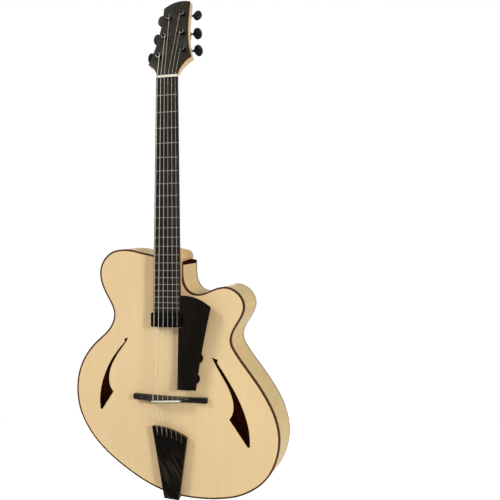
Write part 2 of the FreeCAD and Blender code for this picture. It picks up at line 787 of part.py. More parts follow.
save("tailpiece", placed(tailpiece, tail_place))
save("string_balls", placed(group(balls), tail_place))


# Tubes along runs joined by tangent arcs
def bend_path(points, radius):
    edges = []
    start = points[0]
    for i in range(1, len(points) - 1):
        before = (points[i] - points[i - 1]).normalize()
        after = (points[i + 1] - points[i]).normalize()
        turn = before.getAngle(after)
        reach = radius * math.tan(turn / 2)
        first = points[i] - before * reach
        last = points[i] + after * reach
        inner = (after - before).normalize()
        middle = points[i] + inner * (radius / math.cos(turn / 2) - radius)
        edges.append(line(start, first))
        edges.append(arc(first, middle, last))
        start = last
    edges.append(line(start, points[-1]))
    return edges


def tube(edges, radius, name):
    path = Part.Wire(edges)
    start = edges[0].valueAt(edges[0].FirstParameter)
    along = edges[0].tangentAt(edges[0].FirstParameter)
    ring = Part.Wire([Part.Circle(start, along, radius).toShape()])
    solid = path.makePipeShell([ring], True, False)
    ideal = math.pi * radius * radius * path.Length
    print(name, "length", round(path.Length, 1), "volume ratio", round(solid.Volume / ideal, 4))
    return solid


def arc_along(start, heading, end):
    chord = end - start
    unit = chord * (1 / chord.Length)
    side = heading - unit * heading.dot(unit)
    turn = math.asin(min(1.0, side.Length))
    middle = start + chord * 0.5 + side.normalize() * (chord.Length / 2 * math.tan(turn / 2))
    return arc(start, middle, end)


def biarc(start, heading, end, last):
    gap = end - start
    spare = 2 * (1 - heading.dot(last))
    along = gap.dot(heading + last)
    reach = (math.sqrt(along * along + spare * gap.dot(gap)) - along) / spare
    joint = (start + end + (heading - last) * reach) * 0.5
    turning = arc_along(end, last * -1, joint)
    middle = turning.valueAt((turning.FirstParameter + turning.LastParameter) / 2)
    return [arc_along(start, heading, joint), arc(joint, middle, end)]


def least_gap(edges, apart):
    points = []
    length = 0.0
    for edge in edges:
        for step in range(8):
            share = step / 8.0
            place = edge.valueAt(edge.FirstParameter + (edge.LastParameter - edge.FirstParameter) * share)
            points.append((length + edge.Length * share, place))
        length += edge.Length
    pairs = ((a, b) for i, a in enumerate(points) for b in points[i + 1:])
    return min((b[1] - a[1]).Length for a, b in pairs if b[0] - a[0] > apart)


# Strings: ball, over the saddle and the nut, and round the post
strings = []
for index, size in enumerate(string_sizes):
    radius = size / 2
    across, up, side = tuner_posts[index]
    begin = tail_place.multVec(ball_places[index])
    over_saddle = spread(saddle_span, index)
    saddle_point = Vector(over_saddle, crest + saddle_sag(over_saddle) - radius - 0.05, saddle.z)
    over_nut = spread(nut_span, index)
    nut_point = neck_place.multVec(Vector(over_nut, -nut_height - radius - 0.05, 1.2))
    wrap = post_radius + wrap_clear + radius
    nut_head = head_place.inverse().multVec(nut_point)
    # Tangent from the nut to the winding's inner side, seen square to the headstock
    apart = math.hypot(across - nut_head.x, up - nut_head.z)
    bearing = math.atan2(up - nut_head.z, across - nut_head.x)
    lean = math.asin(wrap / apart)
    heading = bearing + side * lean
    first_angle = heading + side * math.pi / 2
    pitch = size + wrap_gap
    spin = -side

    def wrap_point(turned):
        angle = first_angle + spin * turned
        level = -wrap_height + pitch * turned / (2 * math.pi)
        return Vector(across + wrap * math.cos(angle), level, up + wrap * math.sin(angle))

    def wrap_along(turned):
        angle = first_angle + spin * turned
        reach = spin * wrap
        climb = pitch / (2 * math.pi)
        return Vector(-reach * math.sin(angle), climb, reach * math.cos(angle)).normalize()

    touch = wrap_point(0)
    run = (touch - nut_head).normalize()
    marks = [touch]
    headings = [run]
    for step in range(1, wrap_turns * 4 + 1):
        marks.append(wrap_point(step * math.pi / 2))
        headings.append(wrap_along(step * math.pi / 2))
    edges = bend_path([begin, saddle_point, nut_point, head_place.multVec(touch)], string_bend)
    turn_place = head_place.Rotation
    for step in range(wrap_turns * 4):
        edges += biarc(head_place.multVec(marks[step]), turn_place.multVec(headings[step]),
                       head_place.multVec(marks[step + 1]), turn_place.multVec(headings[step + 1]))
    turns = edges[-wrap_turns * 8 - 1:]
    print("string %d" % (index + 1), "least gap to itself", round(least_gap(turns, wrap * math.pi) - size, 2))
    strings.append(tube(edges, radius, "string %d" % (index + 1)))
save("wound_strings", group(strings[:4]))
save("plain_strings", group(strings[4:]))

# End jack through the tail block, tail wire round it and the rest under the tailpiece
jack_line = line(world(jack_across, tail_block_start), world(jack_across, tail_block_start + 100))
edge_point = jack_line.distToShape(rim.toShape())[1][0][0]
jack_face = joint_z - edge_point.z


def jack_rod(radius, start, end):
    inner_end = world(jack_across, jack_face + start, jack_depth)
    outer_end = world(jack_across, jack_face + end, jack_depth)
    return rod(radius, inner_end, outer_end)


outer_body = body_prism(0, 0, rim_depth)
flange = jack_rod(jack_flange, -6, jack_flange_out).cut(outer_body)
jack = jack_rod(jack_barrel, -jack_inside, jack_flange_out).fuse(flange)
jack = jack.fuse(jack_rod(jack_waist, jack_flange_out, jack_waist_out))
jack = jack.fuse(jack_rod(jack_head, jack_waist_out, jack_out))
jack = jack.cut(jack_rod(jack_bore, -jack_inside + jack_wall, jack_out + 5))
save("end_jack", jack)
wire_down = jack_face + jack_waist_out - wire_from_head
left = jack_across - wire_half
right = jack_across + wire_half
left_loop = world(left, wire_down, jack_depth)
right_loop = world(right, wire_down, jack_depth)


def wire_corner(end):
    fall = end.z - left_loop.z
    return Vector(end.x, end.y + fall * math.tan(tail_slope), left_loop.z)


path = bend_path([wire_ends[0], wire_corner(wire_ends[0]), left_loop], wire_bend)
path.append(arc(left_loop, world(jack_across, wire_down, jack_depth + wire_half), right_loop))
path += bend_path([right_loop, wire_corner(wire_ends[1]), wire_ends[1]], wire_bend)
save("tail_wire", tube(path, wire_radius, "tail wire"))
rest = body_box(jack_across - rest_half, jack_across + rest_half, rest_start, rest_end, -30, 0)
rest = rest.cut([top_dome, placed(box(-80, 80, -60, tail_thickness, -200, 20), tail_place)])
save("tail_rest", rest.Solids[0])

# Pickup held on the end of the board
pickup_back = pickup_face + pickup_depth
pickup = box(-pickup_length / 2, pickup_length / 2, pickup_face, pickup_back, pickup_low, pickup_top)
corner_edges = [edge for edge in pickup.Edges if edge.BoundBox.YLength > pickup_depth - 0.1]
pickup = pickup.makeFillet(pickup_corner, corner_edges)
pole_up = pickup_top - pole_offset
poles = []
for index in range(6):
    across = spread(nut_span + (saddle_span - nut_span) * -pole_up / saddle_down, index)
    poles.append(rod(pole_radius, Vector(across, pickup_face - pole_proud, pole_up),
                     Vector(across, pickup_face - pole_proud + pole_length, pole_up)))
save("pickup", placed(pickup.cut(poles), neck_place))
save("pole_screws", placed(group(poles), neck_place))
bracket = box(-bracket_half, bracket_half, pickup_face + 1, pickup_face + pickup_depth, pickup_top, board_end)
save("pickup_bracket", placed(bracket, neck_place))


# Pickguard in the board's plane, with its blocks and the two thumb wheels
def board_point(across, down, depth):
    ahead = neck_place.inverse().multVec(world(across, down, -board_lift - down * math.tan(tilt)))
    return Vector(across, depth, ahead.z)


def guard_point(across, down):
    return board_point(across, down, guard_face)


board_end_down = body_down(board_end)
guard_low_down = saddle_body_down - guard_to_bridge
guard_corner = guard_point(guard_corner_at[0], board_end_down - guard_corner_at[1])
guard_upper_mid = guard_point(guard_upper_mid_at[0], board_end_down - guard_upper_mid_at[1])
guard_low = guard_point(guard_low_across, guard_low_down)
guard_edge_mid = (guard_corner + guard_low) * 0.5 - x_axis * guard_edge_hollow
notch = pickup_length / 2 + guard_clear
upper_z = guard_point(0, board_end_down - guard_upper_up).z
start = Vector(board_half(-upper_z) + guard_clear, guard_face, upper_z)
board_foot = Vector(end_half + guard_clear, guard_face, board_end + guard_clear)
notch_low = pickup_low - guard_clear
ring = [start, board_foot, Vector(notch, guard_face, board_foot.z), Vector(notch, guard_face, notch_low),
        Vector(guard_inner, guard_face, notch_low), guard_point(guard_low_inner, guard_low_down), guard_low]
edges = [line(ring[i], ring[i + 1]) for i in range(len(ring) - 1)]
edges.append(arc(guard_low, guard_edge_mid, guard_corner))
edges.append(arc(guard_corner, guard_upper_mid, start))
guard = prism(edges, y_axis * guard_thickness)
save("pickguard", placed(guard, neck_place))
guard_back = guard_face + guard_thickness
block_out = plate_inner - block_gap
z0 = guard_point(0, board_end_down - side_block_up[0]).z
z1 = guard_point(0, board_end_down - side_block_up[1]).z
side_block = box(extension_half, block_out, board_thickness + 0.3, side_block_back, z0, z1)
side_block = side_block.fuse(box(end_half + guard_clear, block_out, guard_back, side_block_back, z0, z1))
guard_run = guard_low_down - body_down(pickup_low)
z2 = guard_point(0, guard_low_down - guard_run * foot_block_share[0]).z
z3 = guard_point(0, guard_low_down - guard_run * foot_block_share[1]).z
foot_block = placed(box(*foot_block_across, guard_back, 40, z2, z3), neck_place).cut(top_dome)
foot_block = foot_block.common(body_box(0, 100, 0, saddle_body_down, -60, -6))
save("guard_blocks", group([placed(side_block, neck_place), foot_block.Solids[0]]))

# Thumb wheels turn in small controls on a plate behind the guard
wheel_front = guard_back + wheel_gap
wheel_back = wheel_front + wheel_thickness
pot_front = wheel_back + wheel_gap
pot_back = pot_front + pot_height
pots = []
for name, (across, up) in zip(("volume_wheel", "tone_wheel"), wheel_places_up):
    middle = board_point(across, guard_low_down - up, 0)
    wheel = rod(wheel_radius, middle + y_axis * wheel_front, middle + y_axis * wheel_back)
    shaft_end = middle + y_axis * (pot_back - 0.6)
    wheel = wheel.fuse(rod(wheel_shaft, middle + y_axis * wheel_back, shaft_end))
    save(name, placed(wheel, neck_place))
    pot = rod(pot_radius, middle + y_axis * pot_front, middle + y_axis * pot_back)
    bore_end = middle + y_axis * (pot_back - 0.3)
    bore = rod(wheel_shaft + running_gap, middle + y_axis * (pot_front - 1), bore_end)
    pots.append(pot.cut(bore))
save("pots", placed(group(pots), neck_place))
z4 = guard_point(0, guard_low_down - wheel_places_up[1][1] + plate_margin).z
z5 = guard_point(0, guard_low_down - wheel_places_up[0][1] - plate_margin).z
plate_low = wheel_places_up[1][0] + plate_past_wheel
plate_high = wheel_places_up[0][0] + plate_past_wheel
plate_corners = [Vector(plate_inner, pot_back, z4), Vector(plate_low, pot_back, z4),
                 Vector(plate_high, pot_back, z5), Vector(plate_inner, pot_back, z5)]
plate_edges = [line(plate_corners[i], plate_corners[(i + 1) % 4]) for i in range(4)]
plate = prism(plate_edges, y_axis * control_plate_thickness)
plate = plate.fuse(box(plate_inner, plate_inner + plate_lip, guard_back, pot_back, z4, z5))
save("control_plate", placed(plate, neck_place))

# Lead from the pickup through the top to the jack
lead_start = Vector(lead_across, pickup_face + pickup_depth - 3, pickup_low)
lead_points = [neck_place.multVec(lead_start), neck_place.multVec(lead_start - z_axis * lead_drop),
               world(lead_hole_across, lead_hole_down - 20, -lead_lift),
               world(lead_hole_across, lead_hole_down, -lead_lift),
               world(lead_hole_across, lead_hole_down, jack_depth), world(jack_across, 390, jack_depth),
               world(jack_across, jack_face - jack_inside, jack_depth)]
save("pickup_lead", tube(bend_path(lead_points, lead_bend), lead_radius, "lead"))
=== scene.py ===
import bpy
import json
import math
from mathutils import Matrix, Vector
from mathutils.bvhtree import BVHTree


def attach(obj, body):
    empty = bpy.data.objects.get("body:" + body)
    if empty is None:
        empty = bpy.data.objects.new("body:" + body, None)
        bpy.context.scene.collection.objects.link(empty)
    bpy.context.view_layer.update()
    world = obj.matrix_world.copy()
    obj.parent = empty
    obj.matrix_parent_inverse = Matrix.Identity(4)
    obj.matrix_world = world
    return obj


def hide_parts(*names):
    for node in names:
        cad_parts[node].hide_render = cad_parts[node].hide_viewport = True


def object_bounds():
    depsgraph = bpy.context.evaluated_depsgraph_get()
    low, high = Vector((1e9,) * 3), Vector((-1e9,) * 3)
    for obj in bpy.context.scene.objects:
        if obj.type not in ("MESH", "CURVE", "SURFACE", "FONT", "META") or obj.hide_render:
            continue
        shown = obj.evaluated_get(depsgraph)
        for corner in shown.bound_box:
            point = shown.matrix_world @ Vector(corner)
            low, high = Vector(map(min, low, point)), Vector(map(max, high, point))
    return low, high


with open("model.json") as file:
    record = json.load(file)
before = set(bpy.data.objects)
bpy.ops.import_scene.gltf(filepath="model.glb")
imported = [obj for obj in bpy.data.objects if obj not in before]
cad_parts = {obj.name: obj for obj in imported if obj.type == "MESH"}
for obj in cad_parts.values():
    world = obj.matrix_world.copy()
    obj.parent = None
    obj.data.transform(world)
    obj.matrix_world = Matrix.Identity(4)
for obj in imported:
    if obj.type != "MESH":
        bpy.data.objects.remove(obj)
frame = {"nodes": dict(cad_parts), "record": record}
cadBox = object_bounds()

scene = bpy.context.scene
nodes = frame["nodes"]
scene.view_settings.view_transform = "Standard"
bpy.ops.object.select_all(action="DESELECT")


# a shader socket that takes part in plain sums
class Sock:
    def __init__(self, finish, out):
        self.finish = finish
        self.out = out

    def maths(self, operation, *values):
        return self.finish.node("ShaderNodeMath", {"operation": operation}, dict(enumerate(values)))

    def __add__(self, other):
        return self.maths("ADD", self, other)

    def __radd__(self, other):
        return self.maths("ADD", other, self)

    def __sub__(self, other):
        return self.maths("SUBTRACT", self, other)

    def __rsub__(self, other):
        return self.maths("SUBTRACT", other, self)

    def __mul__(self, other):
        return self.maths("MULTIPLY", self, other)

    def __rmul__(self, other):
        return self.maths("MULTIPLY", other, self)

    def __pow__(self, other):
        return self.maths("POWER", self, other)

    def __abs__(self):
        return self.maths("ABSOLUTE", self)

    def clamp(self, low, high):
        return self.maths("MINIMUM", self.maths("MAXIMUM", self, low), high)

    def mask(self, start, gain, most=1):    # 0 at the start, then up by the gain; a minus turns it round
        share = ((self - start) * gain).clamp(0, 1)
        return share if most == 1 else share * most


# the node tree of a material or of the world
class Finish:
    def __init__(self, owner):
        owner.use_nodes = True
        self.owner = owner
        self.tree = owner.node_tree

    def plug(self, socket, value):
        if isinstance(value, Sock):
            self.tree.links.new(value.out, socket)
        elif value is not None:
            socket.default_value = value

    def node(self, kind, settings=None, sockets=None, out=0):
        made = self.tree.nodes.new(kind)
        for name, value in (settings or {}).items():
            setattr(made, name, value)
        for key, value in (sockets or {}).items():
            self.plug(made.inputs[key], value)
        return Sock(self, made.outputs[out])

    def split(self, vector):
        parts = self.node("ShaderNodeSeparateXYZ", None, {0: vector}).out.node.outputs
        return [Sock(self, part) for part in parts]

    def axes(self):
        return self.split(self.node("ShaderNodeTexCoord", out="Object"))

    def facing(self, way):    # how far a face looks to the back or to the front
        depth = self.split(self.node("ShaderNodeTexCoord", out="Normal"))[1]
        return depth if way == "back" else 0 - depth

    def seen(self):    # 1 where the camera looks, also by a reflection or through glass
        rays = ("Is Camera Ray", "Is Glossy Ray", "Is Transmission Ray")
        straight, glossy, clear = (self.node("ShaderNodeLightPath", out=ray) for ray in rays)
        return straight.maths("MAXIMUM", straight.maths("MAXIMUM", straight, glossy), clear)

    def noise(self, place, scale=(1, 1, 1), detail=3.0, rough=0.55, warp=0.0):
        spot = [part if times == 1 else part * times for part, times in zip(place, scale)]
        vector = self.node("ShaderNodeCombineXYZ", None, dict(enumerate(spot)))
        return self.node("ShaderNodeTexNoise", None, {"Vector": vector, "Scale": 1.0, "Detail": detail,
                                                      "Roughness": rough, "Distortion": warp})

    def blend(self, share, low, high):
        return self.node("ShaderNodeMix", {"data_type": "RGBA"}, {0: share, 6: low, 7: high}, out=2)

    def bump(self, height, strength, distance):
        return self.node("ShaderNodeBump", None,
                         {"Height": height, "Strength": strength, "Distance": distance})

    def surface(self, **inputs):
        shader = self.tree.nodes["Principled BSDF"]
        for name, value in inputs.items():
            self.plug(shader.inputs[name.replace("_", " ")], value)
        return self.owner


def newFinish(name):
    return Finish(bpy.data.materials.new(name))


def tone(red, green, blue):    # screen colour 0-255 to linear
    def straight(part):
        part /= 255
        return part / 12.92 if part <= 0.04045 else ((part + 0.055) / 1.055) ** 2.4
    return (straight(red), straight(green), straight(blue), 1)


# camera: fitted to the photograph's fret spacing and body edges
camera = {"place": (0.58171, -1.39451, -0.29036), "right": (0.95829, 0.28515, -0.01944),
          "up": (0.00808, 0.04097, 0.99913), "ahead": (-0.28569, 0.95761, -0.03696),
          "lens": 54.16, "sensor": 36, "farthest": 50}
bpy.ops.object.camera_add(location=camera["place"])
eye = bpy.context.object
eye.name = "photoCamera"
eye.data.lens = camera["lens"]
eye.data.sensor_width = camera["sensor"]
eye.data.clip_end = camera["farthest"]
turn = [(camera["right"][i], camera["up"][i], -camera["ahead"][i]) for i in range(3)]
eye.matrix_world = Matrix.Translation(camera["place"]) @ Matrix(turn).to_4x4()
scene.camera = eye
print("camera set")

# white studio: the world and the paper floor show white, and light the guitar less than they show
white, black = (1, 1, 1, 1), (0, 0, 0, 1)
studio = {"ambient": 0.23, "floorDrop": 0.30, "floorRadius": 2.0, "paper": (0.7, 0.7, 0.7, 1),
          "paperRough": 0.9, "glow": (0.64, 0.64, 0.64, 1), "glowFade": (0.7, 1.6)}
lamps = {    # place, aim, size, watts
    "keyLight": ((3.9, -2.9, 0.5), (0, 0, -0.5), 0.9, 136),
    "fillLight": ((-2.5, -3.0, 2.4), (0, 0, -0.5), 1.6, 102),
    "kickLight": ((-2.7, -2.4, -0.95), (0, 0, -0.6), 0.5, 10),
    "backLight": ((-1.0, 3.9, -0.9), (0, 0, -0.5), 1.8, 116),
}
world = bpy.data.worlds.new("studio")
scene.world = world
sky = Finish(world)
lit = sky.tree.nodes["Background"]
lit.inputs["Color"].default_value = white
lit.inputs["Strength"].default_value = studio["ambient"]
shown = sky.node("ShaderNodeBackground", None, {"Color": white, "Strength": 1.0})
mixed = sky.node("ShaderNodeMixShader", None, {0: sky.seen(), 1: Sock(sky, lit.outputs[0]), 2: shown})
sky.plug(sky.tree.nodes["World Output"].inputs["Surface"], mixed)

low = cadBox[0][2] - studio["floorDrop"]
bpy.ops.mesh.primitive_circle_add(vertices=96, radius=studio["floorRadius"], fill_type="NGON",
                                  location=(0, 0, low))
floor = bpy.context.object
floor.name = "floor"
paper = newFinish("studioPaper")
across, away = paper.axes()[:2]
fade = ((across * across + away * away) ** 0.5).mask(*studio["glowFade"])    # pure white towards its rim
glow = paper.blend(fade, studio["glow"], white)
paper.surface(Base_Color=studio["paper"], Roughness=studio["paperRough"], Specular_IOR_Level=0.0,
              Emission_Color=paper.blend(paper.seen(), black, glow), Emission_Strength=1.0)
floor.data.materials.append(paper.owner)

for name, (place, aim, size, watts) in lamps.items():
    bpy.ops.object.light_add(type="AREA", location=place)
    lamp = bpy.context.object
    lamp.name = name
    lamp.data.shape = "DISK"
    lamp.data.size = size
    lamp.data.energy = watts
    lamp.rotation_euler = (Vector(aim) - Vector(place)).to_track_quat("-Z", "Y").to_euler()
    lamp.visible_camera = False
print("studio set")

# places of the neck and of the headstock, as in the solids
frames = {"scale": 0.635, "neckTilt": math.radians(-3.5), "headTilt": math.radians(-15.0),
          "lift": 0.022, "jointFret": 14, "headStep": (0, 0.002, 0.005)}
jointRun = frames["scale"] * (1 - 2 ** (-frames["jointFret"] / 12))    # from the nut to the body
tiltSine, tiltCosine = math.sin(-frames["neckTilt"]), math.cos(frames["neckTilt"])
nutDepth = jointRun * tiltSine - frames["lift"] * tiltCosine
jointUp = -(jointRun * tiltCosine + frames["lift"] * tiltSine)
neckFrame = Matrix.Translation((0, nutDepth, 0)) @ Matrix.Rotation(frames["neckTilt"], 4, "X")
headFrame = neckFrame @ Matrix.Translation(frames["headStep"])
headFrame = headFrame @ Matrix.Rotation(frames["headTilt"], 4, "X")
record = frame["record"]
bodyOf = {node: body for body, members in record["behaviour"]["bodies"].items() for node in members}


# finishes: a mask is its start, its gain and its most, and a relief is its strength and its depth
def spruceTop():
    look = {"pale": tone(236, 207, 157), "grain": tone(213, 177, 123), "warm": tone(225, 191, 138),
            "shadedInside": tone(120, 70, 36), "holeWall": tone(40, 18, 7), "purfling": tone(66, 38, 20),
            "seam": 0.001, "sway": 0.004, "swayScale": (3, 0, 5),
            "lineScale": (780, 0, 7), "lineMask": (0.42, 1.9, 0.30),
            "broadScale": (75, 0, 2.5), "broadMask": (0.38, 2.2, 0.42),
            "cloudScale": (7, 7, 5), "cloudMask": (0.45, 2.4, 0.40),
            "purflingMask": (0.0011, -6000), "shadedInsideMask": (0.2, 3), "wallMask": (0.55, -8),
            "rough": 0.40, "roughLines": 0.08, "coat": 0.08, "coatRough": 0.2, "sheen": 0.18,
            "relief": (0.06, 0.0002)}
    mat = newFinish("spruceTop")
    x, y, z = mat.axes()
    across = abs(x - look["seam"])    # book matched at the middle seam
    swayed = across + mat.noise((across, 0, z), look["swayScale"]) * look["sway"]
    lines = mat.noise((swayed, 0, z), look["lineScale"], detail=2.0)
    broad = mat.noise((swayed, 0, z), look["broadScale"], detail=2.0)
    cloud = mat.noise((x, y, z), look["cloudScale"], detail=2.0)
    colour = mat.blend(lines.mask(*look["lineMask"]), look["pale"], look["grain"])
    colour = mat.blend(broad.mask(*look["broadMask"]), colour, look["warm"])
    colour = mat.blend(cloud.mask(*look["cloudMask"]), colour, look["warm"])
    edgeGap = mat.node("ShaderNodeAttribute", {"attribute_name": "edgeGap"}, out="Fac")
    colour = mat.blend(edgeGap.mask(*look["purflingMask"]), colour, look["purfling"])
    back = mat.facing("back")
    # painted shade: the plate's inner face is darkened and warmed, as the hollow body is dim inside
    colour = mat.blend(back.mask(*look["shadedInsideMask"]), colour, look["shadedInside"])
    colour = mat.blend(abs(back).mask(*look["wallMask"]), colour, look["holeWall"])
    return mat.surface(Base_Color=colour, Roughness=lines * look["roughLines"] + look["rough"],
                       Coat_Weight=look["coat"], Coat_Roughness=look["coatRough"],
                       Specular_IOR_Level=look["sheen"], Normal=mat.bump(lines, *look["relief"]))


maples = {    # flow: how closely the bands of the flame follow each other
    "back": {"name": "flamedBack", "pale": tone(236, 210, 160), "dark": tone(204, 166, 110),
             "shadedInside": tone(205, 112, 50), "bands": "level", "flow": (12, 190, 30),
             "poreScale": (900, 60, 22), "flame": 0.62, "coat": 0.08, "sheen": 0.09},
    "rim": {"name": "flamedRim", "pale": tone(236, 208, 151), "dark": tone(204, 171, 113),
            "bands": "across", "flow": (110, 12, 110),
            "poreScale": (30, 900, 30), "flame": 0.40, "coat": 0.01, "sheen": 0.02},
    "neck": {"name": "flamedNeck", "pale": tone(229, 188, 127), "dark": tone(197, 151, 93),
             "head": tone(248, 224, 179), "bands": "level", "flow": (12, 190, 30),
             "poreScale": (900, 60, 22), "flame": 0.40, "coat": 0.0, "sheen": 0.01},
}


def flamedMaple(look):
    wood = {"flameMask": (0.40, 3.4), "curlScale": (9, 9, 9), "curlGain": 1.4, "curlDrop": 0.15,
            "curlLeast": 0.1, "poreMask": (0.5, 2.5, 0.16), "headMask": (-0.36, 2.75, 0.8),
            "shadedInsideMask": (0.2, 3), "rough": 0.32, "roughFlame": 0.10, "coatRough": 0.15,
            "relief": (0.05, 0.0004)}
    mat = newFinish(look["name"])
    x, y, z = mat.axes()
    if look["bands"] == "across":    # they cross the rim, from front to back
        around, lean, up = look["flow"]
        place = (x * around + y * lean, 0, z * up)
    else:                            # they lie level, bent a little from the middle seam
        aside, up, bend = look["flow"]
        place = (abs(x) * aside, 0, z * up + abs(x) * bend)
    flame = mat.noise(place, detail=3.0, rough=0.5, warp=0.6)
    curl = mat.noise((x, y, z), wood["curlScale"], detail=2.0)
    pores = mat.noise((x, y, z), look["poreScale"], detail=2.0)
    curled = (curl * wood["curlGain"] - wood["curlDrop"]).clamp(wood["curlLeast"], 1)
    share = flame.mask(*wood["flameMask"]) * curled * look["flame"]
    colour = mat.blend(share, look["pale"], look["dark"])
    colour = mat.blend(pores.mask(*wood["poreMask"]), colour, look["dark"])
    if "head" in look:               # paler from the heel up to the head; the darker tone towards the heel is partly painted shade
        colour = mat.blend(z.mask(*wood["headMask"]), colour, look["head"])
    if "shadedInside" in look:             # painted shade: the inner face that the sound holes show is darkened and warmed, as the hollow body is dim
        colour = mat.blend(mat.facing("front").mask(*wood["shadedInsideMask"]), colour, look["shadedInside"])
    return mat.surface(Base_Color=colour, Roughness=flame * wood["roughFlame"] + wood["rough"],
                       Coat_Weight=look["coat"], Coat_Roughness=wood["coatRough"],
                       Specular_IOR_Level=look["sheen"], Normal=mat.bump(flame, *wood["relief"]))


ebonies = {    # name, dark wood, lighter streaks, scale of the streaks, roughness, their share, sheen
    "strip": ("stripEbony", tone(44, 12, 4), tone(60, 22, 9), (30, 300, 300), 0.40, 0.6, 0.0),
    "board": ("boardEbony", tone(31, 26, 22), tone(60, 50, 42), (420, 60, 16), 0.36, 0.6, 0.08),
    "guard": ("guardEbony", tone(13, 9, 6), tone(40, 28, 20), (170, 60, 9), 0.30, 0.7, 0.04),
    "bridge": ("bridgeEbony", tone(8, 7, 6), tone(34, 27, 20), (30, 200, 200), 0.12, 0.5, 0.13),
    "blocks": ("blockEbony", tone(18, 15, 13), tone(42, 33, 27), (150, 150, 30), 0.36, 0.6, 0.08),
}


def ebony(name, dark, light, scale, rough, share, sheen):
    wood = {"pore": (0.004, 0.0035, 0.003, 1), "finer": (5, 5, 3), "streakMask": (0.45, 3.2),
            "poreMask": (0.56, 4, 0.5), "roughPores": 0.16, "relief": (0.10, 0.0002)}
    mat = newFinish(name)
    place = mat.axes()
    streaks = mat.noise(place, scale, detail=4.0, rough=0.6, warp=0.8)
    poreScale = [part * times for part, times in zip(scale, wood["finer"])]
    pores = mat.noise(place, poreScale, detail=2.0)
    colour = mat.blend(streaks.mask(*wood["streakMask"], share), dark, light)
    colour = mat.blend(pores.mask(*wood["poreMask"]), colour, wood["pore"])
    return mat.surface(Base_Color=colour, Roughness=pores * wood["roughPores"] + rough,
                       Specular_IOR_Level=sheen, Normal=mat.bump(pores, *wood["relief"]))


def headFace():
    look = {"dark": tone(39, 36, 29), "light": tone(62, 56, 45), "veneer": tone(118, 58, 28),
            "streakScale": (240, 60, 16), "streakMask": (0.45, 3, 0.6), "veneerMask": (0.0001, 4000),
            "rough": 0.3, "roughStreaks": 0.2, "sheen": 0.09}
    mat = newFinish("headFace")
    x, y, z = mat.axes()
    back = headFrame.col[1].to_3d()
    depth = y * back.y + z * back.z - headFrame.translation.dot(back)    # behind the face of the head
    streaks = mat.noise((x, y, z), look["streakScale"], detail=4.0, rough=0.6, warp=0.6)
    colour = mat.blend(streaks.mask(*look["streakMask"]), look["dark"], look["light"])
    colour = mat.blend(depth.mask(*look["veneerMask"]), colour, look["veneer"])
    return mat.surface(Base_Color=colour, Roughness=streaks * look["roughStreaks"] + look["rough"],
                       Specular_IOR_Level=look["sheen"])


def figuredTail():
    look = {"black": tone(9, 7, 5), "olive": tone(58, 50, 38), "brown": tone(37, 30, 23),
            "edge": tone(88, 62, 40), "lean": (0.86, 0.5), "bandScale": (95, 30, 14),
            "bandMask": (0.44, 5), "lowerMask": (-0.722, -16), "litEdgeMask": (0.8, -6),
            "poreScale": (900, 900, 160), "rough": 0.26, "roughPores": 0.1, "sheen": 0.03,
            "relief": (0.08, 0.0002)}
    mat = newFinish("figuredTail")
    x, y, z = mat.axes()
    main, side = look["lean"]
    slanted = (x * main + z * side, y, z * main - x * side)
    bands = mat.noise(slanted, look["bandScale"], detail=4.0, warp=1.2)
    pores = mat.noise((x, y, z), look["poreScale"], detail=2.0)
    share = bands.mask(*look["bandMask"]) * z.mask(*look["lowerMask"])    # figured towards the lower end
    colour = mat.blend(share, look["black"], mat.blend(pores, look["brown"], look["olive"]))
    # painted highlight: the side walls are painted a lighter brown, as edges that catch the light
    colour = mat.blend(mat.facing("front").mask(*look["litEdgeMask"]), colour, look["edge"])
    return mat.surface(Base_Color=colour, Roughness=pores * look["roughPores"] + look["rough"],
                       Specular_IOR_Level=look["sheen"], Normal=mat.bump(pores, *look["relief"]))


metals = {    # name, colour, roughness, scale of the rubbing, its darkening, pitch of a winding
    "nickel": ("wornNickel", (0.62, 0.60, 0.55), 0.24, 420, 0.25, 0),
    "fret": ("fretNickel", (0.16, 0.155, 0.143), 0.32, 420, 0.25, 0),
    "wound": ("woundWire", (0.47, 0.43, 0.35), 0.34, 1400, 0.30, 0.0005),
    "plain": ("plainWire", (0.60, 0.56, 0.49), 0.28, 900, 0.25, 0),
    "brass": ("tunerBrass", (0.30, 0.225, 0.12), 0.30, 500, 0.25, 0),
    # painted shade: the string balls' brass is darkened nearly to black for the shade in the tailpiece's
    # slots
    "shadedBrass": ("slotShadedBrass", (0.06, 0.048, 0.03), 0.4, 700, 0.5, 0),
}


def metal(name, colour, rough, scale, dull, pitch):
    rubbed = {"mask": (0.4, 2.4), "rough": 0.18, "windingRelief": (0.4, 0.0001)}
    mat = newFinish(name)
    x, y, z = mat.axes()
    rub = mat.noise((x, y, z), (scale, scale, scale))
    shade = [part * (1 - dull) for part in colour]
    turns = None
    if pitch:
        turns = mat.bump(z.maths("SINE", z * (2 * math.pi / pitch)), *rubbed["windingRelief"])
    return mat.surface(Base_Color=mat.blend(rub.mask(*rubbed["mask"]), (*colour, 1), (*shade, 1)),
                       Metallic=1.0, Roughness=rub * rubbed["rough"] + rough, Normal=turns)


